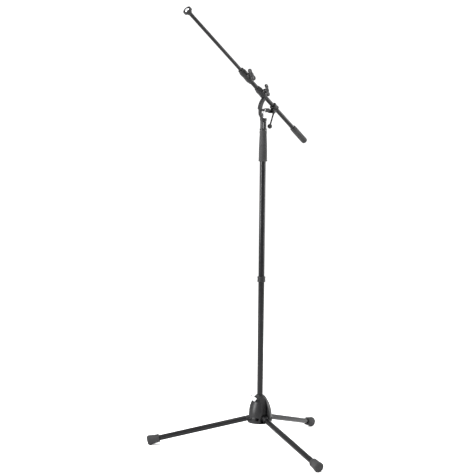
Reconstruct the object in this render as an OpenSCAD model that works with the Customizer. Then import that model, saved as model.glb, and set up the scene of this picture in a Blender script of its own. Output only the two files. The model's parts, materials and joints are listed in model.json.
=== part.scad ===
// Floor-standing boom microphone stand: folding tripod base, one-hand clutch,
// swivel head with a sector bracket, and a telescopic boom with counterweight.
// Origin: on the floor under the column. +Z up, +X towards the microphone end
// of the boom, so the boom swings up and down in the XZ plane.

/* [Base] */
// Outer radius of the base casting at its skirt
base_r = 46.5; // [42:0.5:56]
// Height of the base casting
base_h = 99; // [92:1:120]
// Radius of the base casting at its top rim
base_top_r = 17; // [16:0.5:21]
// Height of the straight skirt below the dome
base_skirt_h = 18; // [12:1:26]
// Rounding of the lobes beside each leg groove
lobe_round = 9; // [6:0.5:11]
// Thickness of the plate that closes the underside
underplate_t = 3; // [2:0.5:5]

/* [Legs] */
// Outer diameter of a leg tube
leg_d = 21; // [18:0.5:22]
// Wall of the leg tubes
leg_wall = 1.2; // [1:0.1:2]
// Distance from hinge axis to the outer end of the foot
leg_len = 393.5; // [330:0.5:470]
// Slope of an opened leg below the horizontal
leg_slope = 13.8; // [11:0.1:16]
// Distance of the leg hinges from the column axis
hinge_r = 34; // [31:0.5:36]
// Diameter of the hinge screws
hinge_pin_d = 7; // [5:0.5:9]
// Largest diameter of a rubber foot
foot_d = 37; // [30:0.5:42]
// Length of a rubber foot
foot_len = 46; // [36:1:54]

/* [Column] */
// Outer diameter of the column tube
column_d = 22.2; // [20:0.1:24]
// Wall of the column tube
column_wall = 1.4; // [1:0.1:2]
// Height of the lower rim of the clutch grip above the floor
column_h = 1057; // [900:1:1250]
// Height of the collar ring above the floor
collar_z = 615; // [560:1:760]
// Length of the sliding mast tube
mast_len = 690; // [560:1:820]
// Outer diameter of the sliding mast tube
mast_d = 17.8; // [15:0.1:18]

/* [Clutch] */
// Length of the rubber grip
grip_len = 113; // [90:1:140]
// Largest diameter of the rubber grip, near its lower rim
grip_d = 31.5; // [29:0.5:38]
// Diameter of the grip at its upper rim
grip_top_d = 25.8; // [25.4:0.1:30]
// Height of the clutch ring above the grip
clutch_ring_h = 7; // [5:0.5:12]

/* [Head] */
// Height of the neck casting
neck_h = 28; // [22:1:40]
// Diameter of the neck casting
neck_d = 22.7; // [21.5:0.1:28]
// Height of the tilt axis above the swivel face
pivot_h = 29.4; // [26:0.2:38]
// Distance of the tilt axis behind the column axis
pivot_back = 43; // [38:0.5:48]
// Distance from the tilt axis to the boom axis
pivot_off = 20; // [19:0.5:24]
// Radius of the sector bracket's centre line about the tilt axis
sector_r = 60; // [57:0.5:70]
// Radial depth of the sector bar
sector_bar = 10; // [9:0.5:12]
// Thickness of the sector bar across the boom
sector_t = 9; // [8.5:0.5:11]
// Length of the tilt lever from its axis to the ball's centre
lever_len = 58; // [44:1:70]
// Diameter of the lever's ball
lever_ball_d = 17.5; // [12:0.5:20]

/* [Boom] */
// Elevation of the boom above the horizontal
boom_tilt = 37; // [30:0.5:44]
// How far the boom tilts down from there
tilt_down = 15; // [8:1:16]
// How far the boom tilts up from there
tilt_up = 12; // [6:1:14]
// Outer diameter of the outer boom tube
boom_outer_d = 15.9; // [14:0.1:17]
// Outer diameter of the inner boom tube
boom_inner_d = 12.7; // [11:0.1:13]
// Wall of the outer boom tube
boom_wall = 1.2; // [1:0.1:1.4]
// Reach of the boom's tip from the rear collar
boom_reach = 534; // [440:1:640]
// Length of the boom holder on the sector
holder_len = 54; // [48:1:66]
// Length of the telescope clamp
clamp_len = 68; // [60:1:90]
// Length of the rear collar
rear_collar_len = 24; // [22:1:36]
// Outer diameter of the rear collar
rear_collar_d = 27; // [25:0.5:29]
// Distance from the rear collar to the counterweight
weight_gap = 115; // [80:1:140]
// Length of the counterweight
weight_len = 79; // [70:1:120]
// Diameter of the counterweight
weight_d = 23.4; // [20:0.2:30]

/* [Tip] */
// Diameter of the tip's threaded stud (5/8 inch)
stud_d = 15.875; // [9.525:0.025:15.875]
// Diameter of the tip's lock ring
lock_ring_d = 31; // [26:0.5:36]
// Length of the tip's lock ring
lock_ring_len = 11.5; // [8:0.5:16]

/* [Fits] */
// Radial clearance of a pin or shaft that turns or slides in a hole
run_gap = 0.05; // [0.02:0.01:0.1]
// Clearance between faces that pass each other
face_gap = 0.3; // [0.2:0.05:0.5]

/* [Hidden] */
$fn = 96;

LEFT_AZ = -44;
FRONT_AZ = 76;
BACK_AZ = 196;
LOBES = [16, 136, 256];
BIG = 400;

// Base and legs
foot_flat = 2;
foot_end_z = foot_d / 2 * cos(leg_slope) - foot_flat;
hinge_z = foot_end_z + leg_len * sin(leg_slope);
leg_width_gap = 0.8;
groove_w = leg_d + 2 * leg_width_gap;
groove_floor_r = hinge_r - leg_d / 2 - 1;
plate_r = base_r - 1.5;
base_z0 = hinge_z - (plate_r - hinge_r) * tan(leg_slope) - leg_d / 2 / cos(leg_slope) - face_gap;
skirt_z = base_z0 + base_skirt_h;
lip_x = sqrt(pow(base_r - lobe_round, 2) - pow(groove_w / 2 + lobe_round, 2));
dome_drop = base_h - base_skirt_h;
dome_run = base_r - base_top_r;
dome_r = (pow(dome_run, 2) + pow(dome_drop, 2)) / (2 * dome_run);
shoulder_h = 6;
passage_d = column_d - 8;
plate_screw_r = 18;
plate_screw_d = 4;
plate_head_d = 7.4;
plate_head_h = 2.5;
hinge_head_d = hinge_pin_d + 4;
hinge_head_y = 20;
tube_start = 17;
plug_len = 30;
foot_end_t = 8;

// Thumb screw, square to the dome's slope
screw_z = base_z0 + 78;
screw_tilt = 22;
screw_d = 8;
boss_d = 15;
boss_end = 24;
loop_r = 12;
loop_wire = 4.6;
loop_turn = 40;
loop_centre = boss_end + 6 + loop_r;

// Column, clutch and mast
column_bore = column_d - 2 * column_wall;
grip_z0 = column_h;
grip_z1 = grip_z0 + grip_len;
clutch_wall = 0.9;
clutch_r = column_d / 2 + clutch_wall;
collet_len = 26;
collet_d = 2 * (clutch_r - 1);
column_top = grip_z1 - collet_len - 6;
ring_z1 = grip_z1 + clutch_ring_h;
neck_z0 = ring_z1 + face_gap;
neck_z1 = neck_z0 + neck_h;
neck_rim_h = 4.5;
neck_rim_d = neck_d + 2.4;
head_z = neck_z1 + neck_rim_h;
socket_depth = 22;
mast_top = neck_z0 + socket_depth;
swivel_bolt_d = 8;
swivel_bolt_out = 25;
nut_d = 13;
nut_h = 6.5;
nut_flange_t = 1.5;
nut_lift = 17;

// Head
pivot_x = -pivot_back;
pivot_z = head_z + pivot_h;
sector_low = -14;
// The bar ends under the boom tube when the boom is at its lowest
tube_above_bar = asin((pivot_off - boom_outer_d / 2 - face_gap) / (sector_r + sector_bar / 2));
sector_high = boom_tilt - tilt_down + tube_above_bar - 2;
sector_plate_t = 4.5;
arm_d = 15;
arm_z = 4;
arm_boss_d = sector_t;
arm_boss_x = 0;
arm_screw_d = 5;
arm_screw_grip = 11;
washer_t = 2;
eye_r = 6;
eye_t = 7;
lug_t = 3.6;
tilt_pin_d = 6;
lug_y = eye_t / 2 + face_gap;
hub_y = lug_y + lug_t + face_gap;
hub_t = 7;
hub_d = 13;
lever_lean = 21;
lever_d = 6.4;
slot_w = 4;
slot_slack = 2.5;
slider_pin_d = slot_w - 2 * face_gap;
shoe_wall = 2.3;
// The shoe slides on the bar, and its pin in the bar's slot
shoe_low = tilt_down - 9;
shoe_high = boom_tilt + asin(pivot_off / sector_r) + 2;
slider_angle = shoe_low + 6;
slot_low = slider_angle - tilt_down - slot_slack;
slot_high = slider_angle + tilt_up + slot_slack;

// Boom, as distances along its axis from the tilt axis
holder_s0 = 58;
holder_s1 = holder_s0 + holder_len;
clamp_s0 = holder_s1 + 34;
clamp_s1 = clamp_s0 + clamp_len;
body_d = 26;
liner_t = 1.6;
boom_bore = boom_outer_d - 2 * boom_wall;
outer_s1 = clamp_s0 + 22;
weight_s1 = -rear_collar_len / 2 - weight_gap;
weight_s0 = weight_s1 - weight_len;
outer_s0 = weight_s1 - 40;
inner_overlap = 150;
inner_s0 = clamp_s1 - inner_overlap;
inner_wall = 1;
tip_s1 = boom_reach;
ring_s0 = tip_s1 - lock_ring_len;
sleeve_len = 9;
sleeve_d = 18.6;
cup_gap = 3;
cup_floor = 3;
shoulder_d = stud_d + 2;
stud_chamfer = 1;
holder_knob_up = 24;
clamp_knob_up = 10;
knob_turn_holder = -60;
knob_turn_clamp = -18;
knob_y = body_d / 2 + 8;
knob_screw_d = 6;
knob_hub_d = 15;
knob_hub_h = 11;
wing_off = 14.5;
wing_d = 18;
wing_t = 6.5;

module pipe(od, id, h) {
    difference() {
        cylinder(d = od, h = h);
        translate([0, 0, -1]) cylinder(d = id, h = h + 2);
    }
}

module along_x() {
    rotate([0, 90, 0]) children();
}

module across_y(y0) {
    translate([0, y0, 0]) rotate([-90, 0, 0]) children();
}

// Local frame on the boom: +X towards the tip, +Z square to the boom, upwards
module on_boom(s) {
    translate([pivot_x, 0, pivot_z]) rotate([0, -boom_tilt, 0]) translate([s, 0, pivot_off]) children();
}

module on_leg(az) {
    rotate([0, 0, az]) translate([hinge_r, 0, hinge_z]) rotate([0, leg_slope, 0]) children();
}

// Local frame of the thumb screw: +Z outwards along the screw from the column
module on_screw() {
    rotate([0, 0, LOBES[0]]) translate([column_d / 2, 0, screw_z]) rotate([0, 90 - screw_tilt, 0]) children();
}

module dome() {
    rotate_extrude() intersection() {
        translate([base_r - dome_r, skirt_z]) circle(r = dome_r, $fn = 360);
        translate([0, base_z0]) square([base_r + 1, base_h]);
    }
}

// Plan of a leg groove: straight walls whose mouths round into the lobes
module groove_plan() {
    translate([groove_floor_r, -groove_w / 2]) square([BIG, groove_w]);
    difference() {
        translate([lip_x, -groove_w / 2 - lobe_round]) square([BIG, groove_w + 2 * lobe_round]);
        for (side = [-1, 1]) translate([lip_x, side * (groove_w / 2 + lobe_round)]) circle(r = lobe_round);
    }
}

module base_casting() {
    pocket_x = 31;
    pocket_r = 6.5;
    pocket_h = 50;
    color([0.07, 0.07, 0.075]) difference() {
        union() {
            dome();
            on_screw() cylinder(d = boss_d, h = boss_end);
        }
        for (az = [LEFT_AZ, FRONT_AZ, BACK_AZ]) rotate([0, 0, az]) {
            translate([0, 0, base_z0 - 1]) linear_extrude(height = BIG) groove_plan();
            translate([hinge_r, 0, hinge_z]) across_y(-base_r)
                cylinder(d = hinge_pin_d, h = 2 * base_r);
            translate([hinge_r, 0, hinge_z]) across_y(-base_r)
                cylinder(d = hinge_head_d, h = base_r - hinge_head_y);
        }
        for (az = LOBES) rotate([0, 0, az]) {
            translate([pocket_x, 0, base_z0 - 1]) cylinder(r = pocket_r, h = pocket_h);
            translate([plate_screw_r, 0, base_z0 - 1]) cylinder(d = plate_screw_d, h = 14);
        }
        translate([0, 0, base_z0 + shoulder_h]) cylinder(d = column_d, h = BIG);
        translate([0, 0, base_z0 - 1]) cylinder(d = passage_d, h = BIG);
        on_screw() translate([0, 0, -2]) cylinder(d = screw_d + 2 * run_gap, h = BIG);
    }
}

module base_underplate() {
    color([0.06, 0.06, 0.06]) difference() {
        translate([0, 0, base_z0 - underplate_t]) cylinder(r = plate_r, h = underplate_t);
        translate([0, 0, base_z0 - underplate_t - 1]) cylinder(d = passage_d, h = underplate_t + 2);
        for (az = LOBES) rotate([0, 0, az]) translate([plate_screw_r, 0, base_z0 - underplate_t - 1]) {
            cylinder(d = plate_screw_d, h = underplate_t + 2);
            cylinder(d = plate_head_d, h = plate_head_h);
        }
    }
}

module underplate_screws() {
    key_d = 3;
    color([0.6, 0.6, 0.62]) for (az = LOBES) rotate([0, 0, az])
        translate([plate_screw_r, 0, base_z0 - underplate_t]) {
            translate([0, 0, 0.2]) difference() {
                cylinder(d = plate_head_d, h = plate_head_h - 1.2);
                translate([0, 0, -1]) cylinder(d = key_d, h = 1.8, $fn = 6);
            }
            translate([0, 0, 1]) cylinder(d = plate_screw_d, h = 12);
        }
}

module leg_hinge_screws() {
    head_h = 2.5;
    key_d = 4;
    color([0.12, 0.12, 0.12]) for (az = [LEFT_AZ, FRONT_AZ, BACK_AZ])
        rotate([0, 0, az]) translate([hinge_r, 0, hinge_z]) {
            across_y(-hinge_head_y - head_h) difference() {
                cylinder(d = hinge_head_d, h = head_h);
                translate([0, 0, -1]) cylinder(d = key_d, h = head_h + 0.1, $fn = 6);
            }
            across_y(-hinge_head_y) cylinder(d = hinge_pin_d, h = 2 * hinge_head_y);
        }
}

module thumb_screw() {
    color([0.85, 0.85, 0.87]) on_screw() {
        translate([0, 0, 2]) cylinder(d = screw_d, h = boss_end + 5);
        translate([0, 0, boss_end + 1]) cylinder(d = screw_d + 4, h = 5);
        translate([0, 0, loop_centre]) rotate([90, 0, loop_turn])
            rotate_extrude() translate([loop_r, 0]) circle(d = loop_wire, $fn = 32);
    }
}

module thumb_screw_pad() {
    color([0.75, 0.6, 0.3]) intersection() {
        on_screw() translate([0, 0, -2]) cylinder(d = screw_d - 1, h = 4);
        difference() {
            cylinder(r = BIG, h = BIG);
            cylinder(d = column_d, h = BIG);
        }
    }
}

module leg_knuckle(az) {
    color([0.06, 0.06, 0.06]) on_leg(az) difference() {
        union() {
            across_y(-leg_d / 2) cylinder(d = leg_d - 0.6, h = leg_d);
            along_x() cylinder(d = leg_d, h = tube_start);
            along_x() cylinder(d = leg_d - 2 * leg_wall, h = tube_start + plug_len);
        }
        across_y(-leg_d) cylinder(d = hinge_pin_d + 2 * run_gap, h = 2 * leg_d);
    }
}

module leg_tube(az) {
    color([0.08, 0.08, 0.09]) on_leg(az) translate([tube_start, 0, 0]) along_x()
        pipe(leg_d, leg_d - 2 * leg_wall, leg_len - tube_start - foot_end_t);
}

module foot_cap(az) {
    neck_r = leg_d / 2 + 5.3;
    end_r = foot_d / 2;
    color([0.12, 0.12, 0.12]) difference() {
        on_leg(az) translate([leg_len - foot_len, 0, 0]) along_x() difference() {
            rotate_extrude() polygon([[0, 0], [neck_r - 0.8, 0], [neck_r, 1.2],
                [end_r - 0.5, foot_len * 0.62],
                [end_r, foot_len * 0.8], [end_r, foot_len - 3.5], [end_r - 3.5, foot_len],
                    [0, foot_len]]);
            translate([0, 0, -1]) cylinder(d = leg_d, h = foot_len - foot_end_t + 1);
        }
        translate([-2 * BIG, -2 * BIG, -50]) cube([4 * BIG, 4 * BIG, 50]);
    }
}

module column_tube() {
    color([0.05, 0.05, 0.06]) translate([0, 0, base_z0 + shoulder_h])
        pipe(column_d, column_bore, column_top - base_z0 - shoulder_h);
}

module column_collar_ring() {
    ring_d = column_d + 8;
    ring_h = 20;
    color([0.04, 0.04, 0.04]) translate([0, 0, collar_z]) rotate_extrude() polygon([
        [column_d / 2, 0], [ring_d / 2 - 1.5, 0], [ring_d / 2, 1.5], [ring_d / 2, ring_h - 1.5],
        [ring_d / 2 - 1.5, ring_h], [column_d / 2, ring_h]]);
}

// Core of the clutch: pressed over the column's top, with a seat for the collet
module clutch_body() {
    color([0.5, 0.5, 0.52]) translate([0, 0, grip_z0 + 8]) difference() {
        cylinder(r = clutch_r, h = grip_len - 8 - face_gap);
        translate([0, 0, -1]) cylinder(d = column_d, h = column_top - grip_z0 - 8 + 1);
        cylinder(d = collet_d, h = grip_len);
    }
}

module clutch_collet() {
    slit = 1.6;
    color([0.85, 0.83, 0.75]) translate([0, 0, column_top]) difference() {
        cylinder(d = collet_d, h = collet_len);
        translate([0, 0, -1]) cylinder(d = mast_d + 2 * run_gap, h = collet_len + 2);
        for (turn = [0, 120, 240]) rotate([0, 0, turn]) translate([0, -slit / 2, 6])
            cube([BIG, slit, BIG]);
    }
}

module clutch_grip() {
    shell_r = clutch_r + face_gap;
    rim_h = 4;
    taper_h = 34;
    color([0.16, 0.16, 0.16]) translate([0, 0, grip_z0]) rotate_extrude() polygon([
        [column_d / 2 + face_gap, 0], [grip_d / 2 - 0.8, 0], [grip_d / 2, rim_h],
        [grip_d / 2 - 0.5, grip_len - 2 * taper_h], [grip_d / 2 - 1, grip_len - taper_h],
        [grip_top_d / 2 + 0.9, grip_len - 8], [grip_top_d / 2, grip_len - 1],
        [grip_top_d / 2 - 0.3, grip_len], [shell_r, grip_len], [shell_r, 7.4],
        [column_d / 2 + face_gap, 7.4]]);
}

module clutch_ring() {
    color([0.03, 0.03, 0.03]) translate([0, 0, grip_z1 + face_gap]) difference() {
        cylinder(d = grip_top_d + 0.6, h = clutch_ring_h - face_gap);
        translate([0, 0, -1]) cylinder(d = mast_d + 2 * face_gap, h = clutch_ring_h + 2);
    }
}

module mast_tube() {
    color([0.82, 0.82, 0.84]) translate([0, 0, mast_top - mast_len])
        pipe(mast_d, mast_d - 2.4, mast_len);
}

module mast_foot_bush() {
    bush_len = 24;
    color([0.85, 0.83, 0.75]) translate([0, 0, mast_top - mast_len - 4]) difference() {
        cylinder(d = column_bore - 2 * run_gap, h = bush_len);
        translate([0, 0, 4]) cylinder(d = mast_d, h = bush_len);
        translate([0, 0, -1]) cylinder(d = mast_d - 6, h = bush_len);
    }
}

module neck_socket() {
    color([0.05, 0.05, 0.06]) translate([0, 0, neck_z0]) difference() {
        union() {
            cylinder(d = neck_d, h = neck_h);
            translate([0, 0, neck_h - 0.01]) cylinder(d = neck_rim_d, h = neck_rim_h + 0.01);
        }
        translate([0, 0, -1]) cylinder(d = mast_d, h = socket_depth + 1);
        cylinder(d = swivel_bolt_d, h = BIG);
    }
}

// The swivel bolt: its head sits inside the socket, its shank carries the head
module neck_bolt() {
    color([0.8, 0.8, 0.82]) {
        translate([0, 0, mast_top - 6]) cylinder(d = mast_d - 3, h = 6, $fn = 6);
        translate([0, 0, mast_top - 0.1])
            cylinder(d = swivel_bolt_d, h = head_z - mast_top + swivel_bolt_out);
    }
}

module sector_ring(r0, r1, t, a0, a1) {
    translate([pivot_x, 0, pivot_z]) rotate([90, 0, 0]) rotate([0, 0, a0]) rotate_extrude(angle = a1 - a0)
        translate([r0, -t / 2]) square([r1 - r0, t]);
}

// A point at an angle on the sector's centre line
module on_sector(a, r = sector_r) {
    translate([pivot_x + r * cos(a), 0, pivot_z + r * sin(a)]) children();
}

module sector_bracket() {
    low_out = sector_r + sector_bar / 2;
    low_in = sector_r - sector_bar / 2;
    foot_out = low_out - 0.4;
    foot_in = low_in + 0.4;
    foot_angle = sector_low + 3;
    foot_t = sector_t - 1;
    color([0.05, 0.05, 0.055]) difference() {
        union() {
            sector_ring(low_in, low_out, sector_t, sector_low, sector_high);
            translate([0, 0, head_z + face_gap / 3]) cylinder(d = neck_rim_d, h = sector_plate_t);
            translate([0, foot_t / 2, 0]) rotate([90, 0, 0]) linear_extrude(height = foot_t)
                polygon([
                [pivot_x + foot_out * cos(foot_angle), pivot_z + foot_out * sin(foot_angle)],
                [neck_rim_d / 2 + 2, head_z + sector_plate_t + 2],
                [neck_rim_d / 2 - 0.5, head_z + 1],
                [nut_d / 2 + 0.5, head_z + 1],
                [nut_d / 2 + 0.5, head_z + sector_plate_t + 2],
                [pivot_x + foot_in * cos(foot_angle), pivot_z + foot_in * sin(foot_angle)]]);
            translate([arm_boss_x, 0, pivot_z + arm_z]) along_x()
                cylinder(d = arm_boss_d, h = low_in - pivot_back - arm_boss_x + 3);
        }
        sector_ring(sector_r - slot_w / 2, sector_r + slot_w / 2, sector_t + 2, slot_low, slot_high);
        translate([0, 0, head_z - 1])
            cylinder(d = swivel_bolt_d + 2 * run_gap, h = sector_plate_t + 2);
        translate([arm_boss_x - 1, 0, pivot_z + arm_z]) along_x()
            cylinder(d = arm_screw_d, h = arm_screw_grip + 1);
    }
}

module swivel_nut() {
    color([0.85, 0.85, 0.87]) translate([0, 0, head_z + nut_lift]) difference() {
        union() {
            cylinder(d = nut_d, h = nut_h, $fn = 6);
            translate([0, 0, -nut_flange_t]) cylinder(d = nut_d - 0.4, h = nut_flange_t);
        }
        translate([0, 0, -nut_flange_t - 1])
            cylinder(d = swivel_bolt_d, h = nut_flange_t + nut_h + 2);
    }
}

// Friction springs of the swivel: a stack of dished washers round the bolt
module swivel_spring() {
    count = 5;
    washer_r = 6.2;
    seat = sector_plate_t + face_gap / 3;
    pitch = (nut_lift - nut_flange_t - seat) / count;
    color([0.8, 0.8, 0.82]) for (i = [0 : count - 1])
        translate([0, 0, head_z + seat + i * pitch]) rotate_extrude()
            polygon([[swivel_bolt_d / 2, 0],
            [washer_r, pitch * 0.45], [washer_r, pitch], [swivel_bolt_d / 2, pitch * 0.55]]);
}

module radius_arm() {
    arm_len = pivot_back + arm_boss_x - washer_t;
    eye_reach = rear_collar_len / 2 + 2;
    color([0.05, 0.05, 0.055]) translate([pivot_x, 0, pivot_z]) difference() {
        union() {
            across_y(-eye_t / 2) cylinder(r = eye_r, h = eye_t);
            translate([0, -eye_t / 2, -eye_r]) cube([eye_reach + 1, eye_t, 2 * eye_r]);
            translate([eye_reach, 0, arm_z]) along_x() cylinder(d = arm_d, h = arm_len - eye_reach);
        }
        across_y(-eye_t) cylinder(d = tilt_pin_d + 2 * run_gap, h = 2 * eye_t);
        translate([arm_len - arm_screw_grip, 0, arm_z]) along_x()
            cylinder(d = arm_screw_d, h = arm_screw_grip + 1);
    }
}

module arm_washer() {
    color([0.8, 0.8, 0.82]) translate([arm_boss_x - washer_t, 0, pivot_z + arm_z]) along_x()
        pipe(arm_d + 1, arm_screw_d, washer_t);
}

module arm_screw() {
    color([0.6, 0.6, 0.62]) translate([arm_boss_x - washer_t - arm_screw_grip, 0, pivot_z + arm_z]) along_x()
        cylinder(d = arm_screw_d, h = 2 * arm_screw_grip + washer_t);
}

module tilt_pin() {
    color([0.6, 0.6, 0.62]) translate([pivot_x, 0, pivot_z]) {
        across_y(-lug_y - lug_t - 2.4) cylinder(d = tilt_pin_d + 4, h = 2.2);
        across_y(-lug_y - lug_t - 1)
            cylinder(d = tilt_pin_d, h = lug_y + lug_t + 1 + hub_y + hub_t - 1);
    }
}

module on_lever() {
    translate([pivot_x, hub_y + hub_t / 2, pivot_z]) rotate([0, 180 - lever_lean, 0]) children();
}

module lever_hub() {
    color([0.04, 0.04, 0.045]) difference() {
        union() {
            translate([pivot_x, 0, pivot_z]) across_y(hub_y) cylinder(d = hub_d, h = hub_t);
            on_lever() cylinder(d = 6.8, h = hub_d / 2 + 5);
        }
        translate([pivot_x, 0, pivot_z]) across_y(hub_y - 1)
            cylinder(d = tilt_pin_d + 2 * run_gap, h = hub_t);
        on_lever() translate([0, 0, tilt_pin_d / 2 + 2]) cylinder(d = lever_d, h = 30);
    }
}

module lever_rod() {
    color([0.06, 0.06, 0.06]) on_lever() translate([0, 0, tilt_pin_d / 2 + 2])
        cylinder(d = lever_d, h = lever_len - tilt_pin_d / 2 - 2 - 2);
}

module lever_ball() {
    color([0.03, 0.03, 0.03]) on_lever() difference() {
        translate([0, 0, lever_len]) sphere(d = lever_ball_d);
        cylinder(d = lever_d, h = lever_len - 2);
    }
}

module rear_collar() {
    half = rear_collar_len / 2;
    color([0.06, 0.06, 0.065]) on_boom(0) difference() {
        union() {
            translate([-half, 0, 0]) along_x() rotate_extrude() polygon([
                [0, 0], [rear_collar_d / 2 - 2, 0], [rear_collar_d / 2, 2],
                [rear_collar_d / 2, rear_collar_len - 2],
                    [rear_collar_d / 2 - 2, rear_collar_len], [0, rear_collar_len]]);
            for (side = [-1, 1]) translate([0, side * (lug_y + lug_t / 2) - lug_t / 2, -pivot_off]) {
                translate([-eye_r, 0, 0])
                    cube([2 * eye_r, lug_t, pivot_off - boom_outer_d / 2 - liner_t - 1]);
                rotate([-90, 0, 0]) cylinder(r = eye_r, h = lug_t);
            }
        }
        translate([-half - 1, 0, 0]) along_x()
            cylinder(d = boom_outer_d + 2 * liner_t, h = rear_collar_len + 2);
        translate([0, 0, -pivot_off]) across_y(-30) cylinder(d = tilt_pin_d + 2 * run_gap, h = 60);
    }
}

module rear_collar_liner() {
    color([0.85, 0.83, 0.75]) on_boom(-rear_collar_len / 2) along_x()
        pipe(boom_outer_d + 2 * liner_t, boom_outer_d + 2 * run_gap, rear_collar_len);
}

// Outside of a boom clamp: a sleeve with tapered ends
module clamp_sleeve(len) {
    end_r = body_d / 2 - 2.4;
    taper = 12;
    along_x() rotate_extrude() polygon([
        [0, 0], [end_r, 0], [body_d / 2, taper], [body_d / 2, len - taper], [end_r, len],
            [0, len]]);
}

// Boss on a boom clamp's side for its wing screw
module clamp_boss(len, angle) {
    translate([len / 2, 0, 0]) rotate([angle, 0, 0]) across_y(0) cylinder(d = 17, h = knob_y - 1.5);
}

module boom_holder() {
    color([0.06, 0.06, 0.065]) difference() {
        union() {
            on_boom(holder_s0) clamp_sleeve(holder_len);
            on_boom(holder_s0) clamp_boss(holder_len, holder_knob_up);
            shoe();
        }
        on_boom(0) along_x() cylinder(d = boom_outer_d + 2 * liner_t, h = holder_s1 + 1);
        on_boom(holder_s0 + holder_len / 2) rotate([holder_knob_up, 0, 0]) across_y(boom_outer_d / 2)
            cylinder(d = knob_screw_d + 2 * run_gap, h = 60);
        sector_channel();
        on_sector(slider_angle) across_y(-30) cylinder(d = slider_pin_d, h = 60);
    }
}

// Curved shoe below the holder, open inwards, that slides on the sector bar
module shoe() {
    sector_ring(sector_r - sector_bar / 2 + 1, sector_r + sector_bar / 2 + shoe_wall,
        sector_t + 2 * shoe_wall, shoe_low, shoe_high);
}

// Room for the bar, over the whole stretch that the shoe passes
module sector_channel() {
    sector_ring(sector_r - sector_bar / 2 - face_gap, sector_r + sector_bar / 2 + face_gap,
        sector_t + 2 * face_gap, shoe_low - 10, shoe_high + 20);
}

module holder_liner() {
    color([0.85, 0.83, 0.75]) difference() {
        on_boom(holder_s0) along_x()
            pipe(boom_outer_d + 2 * liner_t, boom_outer_d + 2 * run_gap, holder_len);
        on_boom(holder_s0 + holder_len / 2) rotate([holder_knob_up, 0, 0]) across_y(0)
            cylinder(d = knob_screw_d + 2 * run_gap, h = 60);
        sector_channel();
    }
}

module slider_pin() {
    pin_half = sector_t / 2 + shoe_wall;
    color([0.7, 0.7, 0.72]) on_sector(slider_angle) across_y(-pin_half)
        cylinder(d = slider_pin_d, h = 2 * pin_half);
}

module wing_knob(turn) {
    difference() {
        union() {
            cylinder(d = knob_hub_d, h = knob_hub_h);
            for (side = [0, 180]) rotate([0, 0, turn + side]) {
                translate([wing_off, 0, 3]) cylinder(d = wing_d, h = wing_t);
                translate([0, -wing_d * 0.32, 3]) cube([wing_off, wing_d * 0.64, wing_t]);
            }
        }
        translate([0, 0, -1]) cylinder(d = knob_screw_d, h = 8);
    }
}

module knob_place(s, up) {
    on_boom(s) rotate([up, 0, 0]) across_y(0) children();
}

module holder_knob() {
    color([0.1, 0.1, 0.1]) knob_place(holder_s0 + holder_len / 2, holder_knob_up)
        translate([0, 0, knob_y]) wing_knob(knob_turn_holder);
}

module holder_knob_screw() {
    color([0.7, 0.7, 0.72]) knob_place(holder_s0 + holder_len / 2, holder_knob_up)
        translate([0, 0, boom_outer_d / 2 + face_gap])
            cylinder(d = knob_screw_d, h = knob_y + 7 - boom_outer_d / 2 - face_gap);
}

module boom_outer_tube() {
    color([0.08, 0.08, 0.09]) on_boom(outer_s0) along_x()
        pipe(boom_outer_d, boom_bore, outer_s1 - outer_s0);
}

module counterweight() {
    nose = 5;
    color([0.13, 0.13, 0.13]) on_boom(weight_s0) along_x() difference() {
        rotate_extrude()
            polygon([[0, 0], [weight_d / 2 - nose, 0], [weight_d / 2 - nose / 3, nose / 3],
            [weight_d / 2, nose],
            [weight_d / 2, weight_len - 3], [weight_d / 2 - 0.6, weight_len], [0, weight_len]]);
        translate([0, 0, outer_s0 - weight_s0]) cylinder(d = boom_outer_d, h = BIG);
    }
}

module counterweight_ring() {
    color([0.03, 0.03, 0.03]) on_boom(weight_s1) along_x() difference() {
        rotate_extrude() polygon([[0, 0], [weight_d / 2 - 0.6, 0], [weight_d / 2 - 0.6, 5],
            [weight_d / 2 - 2.5, 7], [0, 7]]);
        translate([0, 0, -1]) cylinder(d = boom_outer_d, h = 10);
    }
}

module telescope_clamp() {
    color([0.06, 0.06, 0.065]) difference() {
        on_boom(clamp_s0) union() {
            clamp_sleeve(clamp_len);
            clamp_boss(clamp_len, clamp_knob_up);
        }
        on_boom(clamp_s0 - 1) along_x() cylinder(d = boom_outer_d, h = outer_s1 - clamp_s0 + 1);
        on_boom(outer_s1 - 0.01) along_x() cylinder(d = boom_inner_d + 2 * liner_t, h = BIG);
        on_boom(clamp_s0 + clamp_len / 2) rotate([clamp_knob_up, 0, 0]) across_y(boom_inner_d / 2)
            cylinder(d = knob_screw_d + 2 * run_gap, h = 60);
    }
}

module telescope_bush() {
    color([0.85, 0.83, 0.75]) difference() {
        on_boom(outer_s1) along_x()
            pipe(boom_inner_d + 2 * liner_t, boom_inner_d + 2 * run_gap, clamp_s1 - outer_s1);
        on_boom(clamp_s0 + clamp_len / 2) rotate([clamp_knob_up, 0, 0]) across_y(0)
            cylinder(d = knob_screw_d + 2 * run_gap, h = 60);
    }
}

module telescope_knob() {
    color([0.1, 0.1, 0.1]) knob_place(clamp_s0 + clamp_len / 2, clamp_knob_up)
        translate([0, 0, knob_y]) wing_knob(knob_turn_clamp);
}

module telescope_knob_screw() {
    color([0.7, 0.7, 0.72]) knob_place(clamp_s0 + clamp_len / 2, clamp_knob_up)
        translate([0, 0, boom_inner_d / 2 + face_gap])
            cylinder(d = knob_screw_d, h = knob_y + 7 - boom_inner_d / 2 - face_gap);
}

module boom_inner_tube() {
    color([0.05, 0.05, 0.06]) on_boom(inner_s0) along_x()
        pipe(boom_inner_d, boom_inner_d - 2 * inner_wall, ring_s0 - sleeve_len - inner_s0 + 8);
}

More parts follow.
